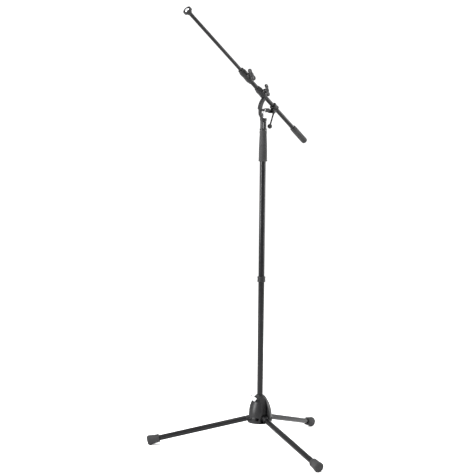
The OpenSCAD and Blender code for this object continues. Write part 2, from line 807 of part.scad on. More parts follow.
module boom_inner_plug() {
    color([0.85, 0.83, 0.75]) on_boom(inner_s0 - 6) along_x() {
        cylinder(d = boom_bore - 2 * run_gap, h = 6);
        translate([0, 0, 5]) cylinder(d = boom_inner_d - 2 * inner_wall, h = 16);
    }
}

// Turned end piece between the inner tube and the threaded stud
module tip_sleeve() {
    color([0.05, 0.05, 0.055]) on_boom(ring_s0 - sleeve_len) along_x() difference() {
        rotate_extrude() polygon([[0, 0], [boom_inner_d / 2 + 1.4, 0], [sleeve_d / 2, 3],
            [sleeve_d / 2, sleeve_len - face_gap], [0, sleeve_len - face_gap]]);
        translate([0, 0, -1]) cylinder(d = boom_inner_d, h = sleeve_len + 2);
    }
}

module tip_stud() {
    bore = boom_inner_d - 2 * inner_wall;
    color([0.85, 0.85, 0.87]) on_boom(ring_s0 - face_gap) along_x() {
        translate([0, 0, -14]) cylinder(d = bore, h = 15);
        cylinder(d = shoulder_d, h = cup_floor + face_gap);
        rotate_extrude()
            polygon([[0, 0], [stud_d / 2, 0], [stud_d / 2, lock_ring_len + face_gap - stud_chamfer],
            [stud_d / 2 - stud_chamfer, lock_ring_len + face_gap], [0, lock_ring_len + face_gap]]);
    }
}

module tip_lock_ring() {
    ribs = 16;
    rib_d = 2;
    color([0.06, 0.06, 0.06]) on_boom(ring_s0) along_x() difference() {
        rotate_extrude() polygon([[0, 0], [lock_ring_d / 2 - 1.5, 0], [lock_ring_d / 2, 1.5],
            [lock_ring_d / 2, lock_ring_len - 1.5], [lock_ring_d / 2 - 1.5, lock_ring_len],
                [0, lock_ring_len]]);
        translate([0, 0, -1]) cylinder(d = shoulder_d + 2 * run_gap, h = lock_ring_len + 2);
        translate([0, 0, cup_floor]) cylinder(d = stud_d + 2 * cup_gap, h = lock_ring_len);
        for (i = [0 : ribs - 1]) rotate([0, 0, i * 360 / ribs]) translate([lock_ring_d / 2, 0, -1])
            cylinder(d = rib_d, h = lock_ring_len + 2, $fn = 24);
    }
}

base_casting();
base_underplate();
underplate_screws();
leg_hinge_screws();
thumb_screw();
thumb_screw_pad();
leg_knuckle(LEFT_AZ);  // leg_knuckle_left
leg_knuckle(FRONT_AZ);  // leg_knuckle_front
leg_knuckle(BACK_AZ);  // leg_knuckle_back
leg_tube(LEFT_AZ);  // leg_tube_left
leg_tube(FRONT_AZ);  // leg_tube_front
leg_tube(BACK_AZ);  // leg_tube_back
foot_cap(LEFT_AZ);  // foot_cap_left
foot_cap(FRONT_AZ);  // foot_cap_front
foot_cap(BACK_AZ);  // foot_cap_back
column_tube();
column_collar_ring();
clutch_body();
clutch_collet();
clutch_grip();
clutch_ring();
mast_tube();
mast_foot_bush();
neck_socket();
neck_bolt();
sector_bracket();
swivel_nut();
swivel_spring();
radius_arm();
arm_washer();
arm_screw();
tilt_pin();
lever_hub();
lever_rod();
lever_ball();
rear_collar();
rear_collar_liner();
boom_holder();
holder_liner();
slider_pin();
holder_knob();
holder_knob_screw();
boom_outer_tube();
counterweight();
counterweight_ring();
telescope_clamp();
telescope_bush();
telescope_knob();
telescope_knob_screw();
boom_inner_tube();
boom_inner_plug();
tip_sleeve();
tip_stud();
tip_lock_ring();
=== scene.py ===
import json
import math

import bmesh
import bpy
import numpy as np
from mathutils import Matrix, Vector


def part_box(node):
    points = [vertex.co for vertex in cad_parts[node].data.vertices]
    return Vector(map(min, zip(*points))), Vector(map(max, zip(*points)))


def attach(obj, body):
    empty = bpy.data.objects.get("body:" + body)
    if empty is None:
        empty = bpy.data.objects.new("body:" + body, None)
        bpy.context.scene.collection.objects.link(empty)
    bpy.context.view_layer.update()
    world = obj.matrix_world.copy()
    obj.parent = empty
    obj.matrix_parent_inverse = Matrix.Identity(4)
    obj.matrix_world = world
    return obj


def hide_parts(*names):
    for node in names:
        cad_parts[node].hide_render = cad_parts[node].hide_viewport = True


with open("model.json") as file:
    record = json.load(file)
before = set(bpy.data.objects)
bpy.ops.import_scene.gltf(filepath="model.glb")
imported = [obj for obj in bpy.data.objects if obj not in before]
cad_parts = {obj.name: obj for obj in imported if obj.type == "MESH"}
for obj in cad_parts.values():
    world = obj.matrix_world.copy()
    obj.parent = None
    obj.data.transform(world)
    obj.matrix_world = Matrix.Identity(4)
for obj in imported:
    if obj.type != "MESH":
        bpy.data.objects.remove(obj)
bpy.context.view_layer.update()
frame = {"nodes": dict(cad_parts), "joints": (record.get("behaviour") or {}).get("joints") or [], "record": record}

# Boom microphone stand. Lengths are in millimetres in each piece's local frame,
# and become metres where a mesh is made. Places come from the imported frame.
MM = 0.001

JOINTS = {joint["name"]: joint for joint in frame["joints"]}
SLOT_OF = {part["node"]: part["material_slot"] for part in frame["record"]["subparts"]}
LEGS = ("left", "front", "back")

# Camera: an upright studio shot from well in front of the stand
CAMERA_AZIMUTH = 46.0
CAMERA_DISTANCE = 4.608
CAMERA_HEIGHT = 1.1315
CAMERA_YAW = -0.0198
CAMERA_PITCH = -0.0763
CAMERA_ROLL = 0.011
CAMERA_LENS = 95.7
SENSOR_WIDTH = 36.0

# Sizes that a node's box doesn't give
SKIRT_HEIGHT = 18
LOBE_ROUND = 9
GROOVE_GAP = 0.8
HINGE_HEAD = 11
BOSS_RADIUS = 7.5
BOSS_END = 24
BAR_DEPTH = 10
BAR_THICK = 9
SECTOR_LOW = -14
SLOT_WIDTH = 4
# Degrees from the top end of the sector bar
SLOT_SPAN = (-36, -4)
SHOE_SPAN = (-24.4, 28)
SHOE_ROOM = (-34.4, 48)
# Lengths again
SHOE_WALL = 2.3
SLEEVE_TAPER = 12
CLAMP_BOSS = 8.5
CLAMP_BOSS_HEIGHT = 19.5
CLAMP_RADIUS = 13
CLAMP_END_STEP = 2.4
COLLAR_RADIUS = 13.5
LEVER_HUB_RADIUS = 6.5
STUD_RADIUS = 7.9375
STUD_PITCH = 0.94
COLUMN_WALL = 1.4
LEG_WALL = 1.2
MAST_WALL = 1.2
BOOM_WALLS = (1.2, 1.0)
LUG_THICK = 3.6
EYE_THICK = 7
EYE_RADIUS = 6
WING_REACH = 14.5
WING_RADIUS = 9
THREAD_PITCH = 1.1
RUN_GAP = 0.1


# ---------------------------------------------------------------- frames

def vertices(node):
    """The vertices of a CAD node, in millimetres in the row frame."""
    data = frame["nodes"][node].data.vertices
    flat = np.empty(len(data) * 3)
    data.foreach_get("co", flat)
    return flat.reshape(-1, 3) / MM


def frame_at(origin, z_axis, x_hint):
    """A local frame: Z along z_axis, and X as near x_hint as it can be."""
    z = Vector(z_axis).normalized()
    x = Vector(x_hint)
    x = (x - z * x.dot(z)).normalized()
    place = Matrix((x, z.cross(x), z)).transposed().to_4x4()
    place.translation = Vector(origin)
    return place


def local(node, place):
    """The vertices of a CAD node in a local frame."""
    inverse = np.array(place.inverted())
    return vertices(node) @ inverse[:3, :3].T + inverse[:3, 3]


def span(node, place):
    """Start, end and largest radius of a node along a local frame's Z."""
    points = local(node, place)
    radius = np.hypot(points[:, 0], points[:, 1]).max()
    return float(points[:, 2].min()), float(points[:, 2].max()), float(radius)


def centred(node, place):
    """The same frame, moved sideways on to the axis of a round node."""
    points = local(node, place)
    middle = (points.min(0) + points.max(0)) / 2
    return place @ Matrix.Translation((middle[0], middle[1], 0))


def joint_point(name):
    return Vector(JOINTS[name]["pos_m"]) / MM


def leg_frame(side):
    """Z out along the leg from its hinge, X square to it and upwards."""
    hinge = joint_point(f"leg_{side}_fold")
    points = vertices(f"leg_tube_{side}")
    middle = Vector((points.min(0) + points.max(0)) / 2)
    return frame_at(hinge, middle - hinge, (0, 0, 1))


def wing_frame(joint, node):
    """Z out along a wing screw, X towards one wing."""
    axis = Vector(JOINTS[joint]["axis"])
    origin = joint_point(joint)
    points = vertices(node) - np.array(origin)
    flat = points - np.outer(points @ np.array(axis), np.array(axis))
    farthest = flat[np.linalg.norm(flat, axis=1).argmax()]
    return frame_at(origin, axis, farthest)


COLUMN = Matrix.Identity(4)
PIVOT = joint_point("boom_tilt")
HEAD = frame_at(PIVOT, (0, -1, 0), (1, 0, 0))
BOOM = centred("boom_inner_tube", frame_at(PIVOT, JOINTS["boom_slide"]["axis"], (0, 1, 0)))
SCREW = frame_at(joint_point("clamp_screw_turn"), JOINTS["clamp_screw_turn"]["axis"], (0, 0, 1))


# ---------------------------------------------------------------- meshes

def make_piece(name, points, faces, place):
    mesh = bpy.data.meshes.new(name)
    mesh.from_pydata([(place @ Vector(p)) * MM for p in points], [], faces)
    work = bmesh.new()
    work.from_mesh(mesh)
    bmesh.ops.recalc_face_normals(work, faces=work.faces)
    work.to_mesh(mesh)
    work.free()
    piece = bpy.data.objects.new(name, mesh)
    bpy.context.scene.collection.objects.link(piece)
    shade(piece)
    return piece


def shade(piece, angle=33):
    piece.data.shade_smooth()
    piece.data.set_sharp_from_angle(angle=math.radians(angle))


def rounded(corners, radius, closed=False, steps=4):
    """An outline whose corners are rounded."""
    corners = [Vector(corner) for corner in corners]
    outline = []
    for i, corner in enumerate(corners):
        before = corners[i - 1] - corner
        after = corners[(i + 1) % len(corners)] - corner
        end_point = not closed and i in (0, len(corners) - 1)
        if end_point or before.angle(after) > math.radians(172):
            outline.append(tuple(corner))
            continue
        cut = radius / math.tan(before.angle(after) / 2)
        cut = min(cut, before.length * 0.45, after.length * 0.45)
        start = corner + before.normalized() * cut
        end = corner + after.normalized() * cut
        for k in range(steps + 1):
            t = k / steps
            point = start * (1 - t) ** 2 + corner * 2 * t * (1 - t) + end * t * t
            outline.append(tuple(point))
    return outline


def lathe(name, profile, place, sides=72, relief=None):
    """Turns (radius, height) points round Z: a solid if the ends are on the axis, else a ring.
    relief(angle, height) is taken off the radius, for flutes and knurls."""
    points = []
    rings = []
    for radius, height in profile:
        if radius < 1e-6:
            rings.append([len(points)])
            points.append((0, 0, height))
            continue
        rings.append(list(range(len(points), len(points) + sides)))
        for i in range(sides):
            angle = 2 * math.pi * i / sides
            r = radius - (relief(angle, radius, height) if relief else 0)
            points.append((r * math.cos(angle), r * math.sin(angle), height))
    pairs = list(zip(rings, rings[1:]))
    if len(rings[0]) > 1:
        pairs.append((rings[-1], rings[0]))
    faces = []
    for low, high in pairs:
        for i in range(sides):
            j = (i + 1) % sides
            corners = [low[i % len(low)], low[j % len(low)], high[j % len(high)], high[i % len(high)]]
            faces.append(tuple(dict.fromkeys(corners)))
    return make_piece(name, points, [face for face in faces if len(face) > 2], place)


def prism(name, outline, z0, z1, place):
    """A flat outline given thickness along Z."""
    count = len(outline)
    points = [(x, y, z) for z in (z0, z1) for x, y in outline]
    faces = [tuple(range(count)), tuple(range(count, 2 * count))]
    faces += [(i, (i + 1) % count, count + (i + 1) % count, count + i) for i in range(count)]
    return make_piece(name, points, faces, place)


def rod(z0, z1, radius, place, sides=48):
    return lathe("tool", [(0, z0), (radius, z0), (radius, z1), (0, z1)], place, sides)


def tube(name, z0, z1, outer, inner, place, edge=0.4, sides=72):
    corners = [(inner, z0), (outer, z0), (outer, z1), (inner, z1)]
    return lathe(name, rounded(corners, edge, closed=True), place, sides)


def threaded(name, z0, z1, radius, place, pitch=THREAD_PITCH):
    """A screw's shank, with its thread as a stack of ridges."""
    count = max(2, int((z1 - z0) / pitch))
    step = (z1 - z0) / count
    depth = step * 0.45
    profile = [(0, z0), (radius - depth, z0)]
    for i in range(count):
        profile.append((radius, z0 + (i + 0.4) * step))
        profile.append((radius, z0 + (i + 0.6) * step))
        profile.append((radius - depth, z0 + (i + 1) * step))
    return lathe(name, profile + [(0, z1)], place, 48)


def arc_band(r0, r1, a0, a1, steps=40):
    """The outline of a stretch of ring, between two angles in degrees."""
    angles = [math.radians(a0 + (a1 - a0) * i / steps) for i in range(steps + 1)]
    outer = [(r1 * math.cos(a), r1 * math.sin(a)) for a in angles]
    inner = [(r0 * math.cos(a), r0 * math.sin(a)) for a in reversed(angles)]
    return outer + inner


def hexagon(radius):
    corners = [math.radians(60 * i) for i in range(6)]
    return [(radius * math.cos(a), radius * math.sin(a)) for a in corners]


def bake(piece):
    """Makes a piece's modifiers part of its mesh."""
    graph = bpy.context.evaluated_depsgraph_get()
    mesh = bpy.data.meshes.new_from_object(piece.evaluated_get(graph))
    piece.modifiers.clear()
    old = piece.data
    piece.data = mesh
    bpy.data.meshes.remove(old)


def combine(piece, others, operation):
    for other in others:
        step = piece.modifiers.new("combine", "BOOLEAN")
        step.object = other
        step.operation = operation
        step.solver = "MANIFOLD"
    bake(piece)
    for other in others:
        mesh = other.data
        bpy.data.objects.remove(other)
        bpy.data.meshes.remove(mesh)
    shade(piece)
    return piece


def join(piece, *others):
    return combine(piece, others, "UNION")


def cut(piece, *others):
    return combine(piece, others, "DIFFERENCE")


def cast(piece, voxel=0.5, passes=5):
    """Gives a piece the soft edges of a die casting."""
    remesh = piece.modifiers.new("remesh", "REMESH")
    remesh.mode = "VOXEL"
    remesh.voxel_size = voxel * MM
    soften = piece.modifiers.new("soften", "SMOOTH")
    soften.factor = 0.5
    soften.iterations = passes
    bake(piece)
    piece.data.shade_smooth()
    return piece


def bevel(piece, width, segments=3):
    step = piece.modifiers.new("bevel", "BEVEL")
    step.width = width * MM
    step.segments = segments
    step.limit_method = "ANGLE"
    step.angle_limit = math.radians(35)
    bake(piece)
    shade(piece, 45)
    return piece


# ---------------------------------------------------------------- materials

def add_node(tree, kind, x, **inputs):
    node = tree.nodes.new(kind)
    node.location = (x, 0)
    for name, value in inputs.items():
        node.inputs[name.replace("_", " ")].default_value = value
    return node


def noise(tree, coordinates, scale, detail, stretch=(1, 1, 1)):
    mapping = add_node(tree, "ShaderNodeMapping", -900, Scale=stretch)
    tree.links.new(coordinates, mapping.inputs["Vector"])
    texture = add_node(tree, "ShaderNodeTexNoise", -700, Scale=scale, Detail=detail)
    tree.links.new(mapping.outputs["Vector"], texture.inputs["Vector"])
    return texture.outputs["Fac"]


def ranged(tree, value, low, high, spread=0.2):
    """A noise value spread over low to high."""
    node = add_node(tree, "ShaderNodeMapRange", -450)
    node.inputs["From Min"].default_value = 0.5 - spread
    node.inputs["From Max"].default_value = 0.5 + spread
    node.inputs["To Min"].default_value = low
    node.inputs["To Max"].default_value = high
    tree.links.new(value, node.inputs["Value"])
    return node.outputs["Result"]


def surface(name, dark, light, roughness, grain, relief, metallic=0.0, specular=0.5, coat=0.0,
            patch=35, stretch=(1, 1, 1)):
    """A finish: two tones in soft patches, uneven gloss, and a fine grain in relief.
    patch and grain are noise scales per metre, and relief is the grain's height in metres."""
    material = bpy.data.materials.new(name)
    material.use_nodes = True
    tree = material.node_tree
    shader = tree.nodes["Principled BSDF"]
    coordinates = add_node(tree, "ShaderNodeTexCoord", -1100).outputs["Object"]
    tone = ranged(tree, noise(tree, coordinates, patch, 4, stretch), 0, 1)
    ramp = add_node(tree, "ShaderNodeValToRGB", -250)
    ramp.color_ramp.elements[0].color = (*dark, 1)
    ramp.color_ramp.elements[1].color = (*light, 1)
    tree.links.new(tone, ramp.inputs["Fac"])
    tree.links.new(ramp.outputs["Color"], shader.inputs["Base Color"])
    smears = noise(tree, coordinates, patch * 4, 6, stretch)
    tree.links.new(ranged(tree, smears, *roughness), shader.inputs["Roughness"])
    bump = add_node(tree, "ShaderNodeBump", -200, Strength=0.6, Distance=relief)
    tree.links.new(noise(tree, coordinates, grain, 3), bump.inputs["Height"])
    tree.links.new(bump.outputs["Normal"], shader.inputs["Normal"])
    shader.inputs["Metallic"].default_value = metallic
    shader.inputs["Specular IOR Level"].default_value = specular
    shader.inputs["Coat Weight"].default_value = coat
    shader.inputs["Coat Roughness"].default_value = 0.08
    return material


MATERIALS = {
    "casting_black": surface("casting_black", (0.0035, 0.0035, 0.004), (0.008, 0.008, 0.0085),
                             (0.30, 0.44), 1600, 0.00006, specular=0.2),
    "tube_black": surface("tube_black", (0.0025, 0.0025, 0.003), (0.005, 0.005, 0.0055),
                          (0.16, 0.26), 900, 0.00001, specular=0.16, coat=0.06),
    "rubber_black": surface("rubber_black", (0.012, 0.012, 0.0125), (0.022, 0.022, 0.0225),
                            (0.62, 0.80), 2200, 0.00008, specular=0.25),
    "plastic_black": surface("plastic_black", (0.005, 0.005, 0.0055), (0.010, 0.010, 0.0105),
                             (0.36, 0.48), 2600, 0.00004, specular=0.2),
    "chrome": surface("chrome", (0.74, 0.74, 0.76), (0.84, 0.84, 0.85),
                      (0.06, 0.14), 1500, 0.000005, metallic=1.0),
    "steel": surface("steel", (0.46, 0.46, 0.48), (0.60, 0.60, 0.61),
                     (0.24, 0.38), 1800, 0.00001, metallic=1.0),
    "screw_black": surface("screw_black", (0.020, 0.020, 0.022), (0.040, 0.040, 0.042),
                           (0.30, 0.44), 1500, 0.00002, metallic=0.6),
    "nylon": surface("nylon", (0.68, 0.66, 0.59), (0.76, 0.74, 0.67),
                     (0.42, 0.55), 1600, 0.00003),
    "brass": surface("brass", (0.62, 0.44, 0.17), (0.76, 0.58, 0.26),
                     (0.22, 0.36), 1500, 0.00001, metallic=1.0),
}


def add(piece, body, *nodes):
    """Puts a finished piece on its body, in the place of CAD nodes that it stands for."""
    slot = SLOT_OF[nodes[0]]
    piece.data.materials.clear()
    piece.data.materials.append(MATERIALS[slot])
    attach(piece, body)
    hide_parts(*nodes)


# ---------------------------------------------------------------- base and legs

def azimuth_frame(degrees):
    return Matrix.Rotation(math.radians(degrees), 4, "Z")


def leg_azimuth(side):
    hinge = joint_point(f"leg_{side}_fold")
    return math.degrees(math.atan2(hinge.y, hinge.x))


def groove_outline(base_radius, leg_radius, hinge_radius):
    """Plan of a leg groove: straight walls whose mouths round into the lobes."""
    half = leg_radius + GROOVE_GAP
    floor = hinge_radius - leg_radius - 1
    centre_y = half + LOBE_ROUND
    centre_x = math.sqrt((base_radius - LOBE_ROUND) ** 2 - centre_y ** 2)
    stop = -math.atan2(centre_y, centre_x)
    start = math.radians(90)
    upper = []
    for i in range(13):
        angle = -start + (-stop + start) * i / 12
        upper.append((centre_x + LOBE_ROUND * math.cos(angle), centre_y + LOBE_ROUND * math.sin(angle)))
    far = base_radius * 1.6
    upper.append((far * math.cos(stop), -far * math.sin(stop)))
    corner = rounded([(floor, 0), (floor, half), (centre_x, half)], 4)[1:-1]
    side = corner + upper
    return [(x, -y) for x, y in reversed(side)] + side


def base_shell():
    low, high, radius = span("base_casting", COLUMN)
    points = vertices("base_casting")
    top = points[points[:, 2] > high - 0.1]
    top_radius = float(np.hypot(top[:, 0], top[:, 1]).max())
    skirt = low + SKIRT_HEIGHT
    run = radius - top_radius
    drop = high - skirt
    arc = (run ** 2 + drop ** 2) / (2 * run)
    profile = [(0, low), (radius - 0.6, low), (radius, low + 0.8), (radius, skirt),
               (radius - 0.9, skirt + 0.7)]
    for i in range(1, 37):
        height = skirt + 0.7 + (drop - 4.7) * i / 36
        profile.append((radius - arc + math.sqrt(arc ** 2 - (height - skirt) ** 2) - 0.9, height))
    profile += [(top_radius, high - 4), (top_radius, high - 1), (top_radius - 1, high), (0, high)]
    shell = lathe("base_shell", profile, COLUMN, 160)
    join(shell, rod(0, BOSS_END, BOSS_RADIUS, SCREW), rod(4, BOSS_END - 4, BOSS_RADIUS + 1.2, SCREW))
    leg_radius = span("leg_tube_left", leg_frame("left"))[2]
    tools = []
    for side in LEGS:
        hinge = joint_point(f"leg_{side}_fold")
        hinge_radius = math.hypot(hinge.x, hinge.y)
        turned = azimuth_frame(leg_azimuth(side))
        outline = groove_outline(radius, leg_radius, hinge_radius)
        tools.append(prism("tool", outline, low - 5, high + 5, turned))
        across = frame_at(hinge, turned @ Vector((0, 1, 0)), (0, 0, 1))
        tools.append(rod(-radius, -20, HINGE_HEAD / 2, across))
        tools.append(rod(20, radius, HINGE_HEAD / 2, across))
    column_radius = span("column_tube", COLUMN)[2]
    tools.append(rod(low + 6, high + 5, column_radius - 0.3, COLUMN, 96))
    cut(shell, *tools)
    add(cast(shell, 0.75, 5), "base", "base_casting")


def base_trim():
    low, high, radius = span("base_underplate", COLUMN)
    plate = lathe("base_underplate_disc", rounded(
        [(7, low), (radius, low), (radius, high), (7, high)], 0.8, closed=True), COLUMN, 120)
    screws = span("underplate_screws", COLUMN)[2] - 3.7
    holes = []
    for side in LEGS:
        turned = azimuth_frame(leg_azimuth(side) + 60)
        seat = turned @ Matrix.Translation((screws, 0, 0))
        holes.append(rod(low - 1, low + 2.5, 3.8, seat))
    add(cut(plate, *holes), "base", "base_underplate")


def hinge_screws():
    """Socket screws in the lobes, one for each leg."""
    heads = None
    for side in LEGS:
        sideways = azimuth_frame(leg_azimuth(side)) @ Vector((0, 1, 0))
        across = frame_at(joint_point(f"leg_{side}_fold"), sideways, (0, 0, 1))
        profile = [(0, -22.6), (5.3, -22.6), (5.3, -20), (3.4, -20), (3.4, 20), (5.2, 20), (5.2, 22.4),
                   (0, 22.4)]
        screw = lathe("tool", rounded(profile, 0.6), across)
        cut(screw, prism("tool", hexagon(2.3), -24, -20.8, across))
        heads = screw if heads is None else join(heads, screw)
    heads.name = "hinge_screws"
    add(heads, "base", "leg_hinge_screws")


def thumb_screw():
    """Shank, collar and closed loop of the screw that holds the column."""
    low, high, radius = span("thumb_screw", SCREW)
    points = local("thumb_screw", SCREW)
    shank = 4
    ring = points[points[:, 2] > BOSS_END + 7]
    spread = ring[:, :2][np.hypot(ring[:, 0], ring[:, 1]).argmax()]
    wire = 2.3
    loop_radius = radius - wire
    centre = high - radius
    normal = SCREW.to_3x3() @ Vector((-spread[1], spread[0], 0))
    loop_frame = frame_at(SCREW @ Vector((0, 0, centre)), normal, SCREW.to_3x3() @ Vector((0, 0, 1)))
    circle = [(loop_radius + wire * math.cos(math.radians(a)), wire * math.sin(math.radians(a)))
              for a in range(0, 360, 15)]
    loop = lathe("thumb_screw_loop", circle, loop_frame, 96)
    profile = [(0, low + 0.2), (shank - 0.3, low + 0.2), (shank - 0.3, BOSS_END + 1), (6.2, BOSS_END + 1),
               (6.2, BOSS_END + 4), (3.4, BOSS_END + 6), (2.6, centre - loop_radius),
               (0, centre - loop_radius)]
    collar = lathe("tool", rounded(profile, 0.8), SCREW)
    add(join(loop, collar), "clamp_screw", "thumb_screw")


def leg(side):
    body = f"leg_{side}"
    place = leg_frame(side)
    start, end, radius = span(f"leg_tube_{side}", place)
    tube_piece = tube(f"leg_tube_{side}_lacquered", start, end, radius, radius - LEG_WALL, place)
    add(tube_piece, body, f"leg_tube_{side}")
    high = span(f"leg_knuckle_{side}", place)[1]
    hinge = frame_at(place.translation, place.col[1].xyz, place.col[0].xyz)
    eye = lathe(f"leg_knuckle_{side}_cast", rounded(
        [(0, -radius), (radius - 0.3, -radius), (radius - 0.3, radius), (0, radius)], 1.2), hinge)
    collar = [(0, 0), (radius, 0), (radius, start - 3), (radius - 0.9, start - 2.2),
              (radius - 0.9, start - 1), (radius, start - 0.2), (radius, start), (0, start)]
    join(eye, lathe("tool", collar, place))
    cut(eye, rod(-radius - 1, radius + 1, 3.5, hinge))
    cast(eye, 0.6, 3)
    plug = rod(start - 2, high, radius - 1.3, place)
    add(join(eye, plug), body, f"leg_knuckle_{side}")
    foot(side, body, place, radius, end)


def foot(side, body, place, leg_radius, tube_end):
    """Rubber cap: a ribbed neck that swells to a blunt end, worn flat on the floor."""
    node = f"foot_cap_{side}"
    start, end, radius = span(node, place)
    length = end - start
    neck = leg_radius + 4.2
    profile = [(leg_radius, start), (neck, start)]
    for i in range(4):
        base = start + 1.5 + i * 3.4
        profile += [(neck + 0.9, base), (neck + 0.9 + i * 0.25, base + 1.9),
                    (neck + 0.2 + i * 0.25, base + 2.4), (neck + 0.2 + i * 0.25, base + 3.2)]
    profile += [(radius - 0.9, start + length * 0.62), (radius, start + length * 0.8), (radius, end - 5),
                (radius - 4, end), (0, end), (0, tube_end), (leg_radius, tube_end)]
    solid = [(0, tube_end), (leg_radius, tube_end)] + rounded(profile[:-2], 1.0)
    cap = lathe(f"foot_cap_{side}_rubber", solid, place, 96)
    for vertex in cap.data.vertices:
        vertex.co.z = max(vertex.co.z, 0)
    add(cap, body, node)


# ---------------------------------------------------------------- column and clutch

def column():
    low, high, radius = span("column_tube", COLUMN)
    lacquered = tube("column_tube_lacquered", low, high, radius, radius - COLUMN_WALL, COLUMN, 0.5, 96)
    add(lacquered, "base", "column_tube")
    z0, z1, ring = span("column_collar_ring", COLUMN)
    corners = [(radius, z0), (ring, z0), (ring, z0 + 5), (ring - 0.7, z0 + 5.7), (ring - 0.7, z1 - 5.7),
               (ring, z1 - 5), (ring, z1), (radius, z1)]
    collar = lathe("column_collar", rounded(corners, 1.1, closed=True), COLUMN, 96)
    add(collar, "base", "column_collar_ring")
    low, high, radius = span("mast_tube", COLUMN)
    chromed = tube("mast_tube_chromed", low, high, radius, radius - MAST_WALL, COLUMN, 0.4, 96)
    add(chromed, "mast", "mast_tube")


def grip():
    """Rubber sleeve, fluted lengthwise between plain ends."""
    low, high, radius = span("clutch_grip", COLUMN)
    bore = span("column_tube", COLUMN)[2] + 0.4
    top = span("clutch_ring", COLUMN)[2] - 0.3
    length = high - low
    flutes = 36

    def flute(angle, r, height):
        inside = low + 9 < height < high - 9
        return 0.28 * (0.5 - 0.5 * math.cos(flutes * angle)) if inside and r > bore + 1 else 0

    outer = [(radius - 0.9, low), (radius, low + 1.5), (radius, low + 5), (radius - 0.7, low + 6.2),
             (radius - 0.7, low + 9.1)]
    steps = 24
    for i in range(1, steps):
        share = i / steps
        swell = radius - 0.5 - (radius - top) * max(0, share - 0.2) ** 1.6 * 1.25
        outer.append((swell, low + 9.1 + (length - 19) * share))
    outer += [(top + 0.6, high - 8.5), (top + 0.4, high - 3), (top - 0.2, high)]
    ring = [(bore, low)] + outer + [(bore + 1, high), (bore + 1, low + 8), (bore, low + 7.5)]
    add(lathe("grip_rubber", ring, COLUMN, flutes * 8, flute), "grip", "clutch_grip")
    low, high, radius = span("clutch_ring", COLUMN)
    bore = span("mast_tube", COLUMN)[2] + 0.3
    corners = [(bore, low), (radius, low), (radius, high), (bore, high)]
    add(lathe("clutch_top_ring", rounded(corners, 0.9, closed=True), COLUMN, 96), "base", "clutch_ring")


def neck():
    """Split casting that clamps the mast, under the swivel."""
    low, high, radius = span("neck_socket", COLUMN)
    rim = radius
    radius = rim - 1.2
    bore = span("mast_tube", COLUMN)[2]
    corners = [(0, low), (radius - 0.4, low), (radius, low + 1), (radius, high - 5), (rim, high - 4.2),
               (rim, high), (0, high)]
    casting = lathe("neck_casting", rounded(corners, 0.9), COLUMN, 96)
    split = Matrix.Rotation(math.radians(CAMERA_AZIMUTH), 4, "Z")
    slot_box = [(bore - 2, -0.7), (rim + 3, -0.7), (rim + 3, 0.7), (bore - 2, 0.7)]
    cut(casting, rod(low - 1, low + 22, bore, COLUMN, 96), rod(low, high + 1, 4, COLUMN),
        prism("tool", slot_box, low - 1, high - 6, split))
    add(bevel(casting, 0.3, 2), "mast", "neck_socket")


# ---------------------------------------------------------------- head

def swivel():
    """Bolt, dished washers and lock nut that carry the head on the neck."""
    low, high, radius = span("neck_bolt", COLUMN)
    nut_low, nut_high, nut_radius = span("swivel_nut", COLUMN)
    bolt = threaded("swivel_bolt", low + 6, high, 4, COLUMN, 1.25)
    add(join(bolt, prism("tool", hexagon(radius), low, low + 6.2, COLUMN)), "mast", "neck_bolt")
    nut = prism("swivel_lock_nut", hexagon(nut_radius), nut_low + 1.5, nut_high, COLUMN)
    crown = lathe("tool", [(0, nut_low), (nut_radius, nut_low + 2.4), (nut_radius, nut_high - 1.3),
                           (nut_radius * 0.84, nut_high), (0, nut_high)], COLUMN)
    combine(nut, [crown], "INTERSECT")
    flange = [(0, nut_low), (nut_radius * 0.96, nut_low), (nut_radius * 0.96, nut_low + 1.6),
              (0, nut_low + 1.6)]
    join(nut, lathe("tool", rounded(flange, 0.4), COLUMN))
    add(cut(nut, rod(nut_low - 1, nut_high + 1, 4, COLUMN)), "mast", "swivel_nut")
    low, high, radius = span("swivel_spring", COLUMN)
    count = 5
    pitch = (high - low) / count
    profile = [(4.05, low)]
    for i in range(count):
        edge = low + (i + 0.5) * pitch
        profile += [(radius, edge - 0.25 * pitch), (radius, edge + 0.25 * pitch), (4.9, edge + 0.5 * pitch)]
    add(lathe("swivel_dished_washers", profile[:-1] + [(4.05, high)], COLUMN), "mast", "swivel_spring")


def sector_top():
    """Angle of the sector bar's upper end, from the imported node."""
    points = local("sector_bracket", HEAD)
    return float(np.degrees(np.arctan2(points[:, 1], points[:, 0]).max()))


def sector_radius():
    """Outer radius of the sector bar round the tilt axis."""
    points = local("sector_bracket", HEAD)
    return float(np.hypot(points[:, 0], points[:, 1])[points[:, 1] > 0].max())


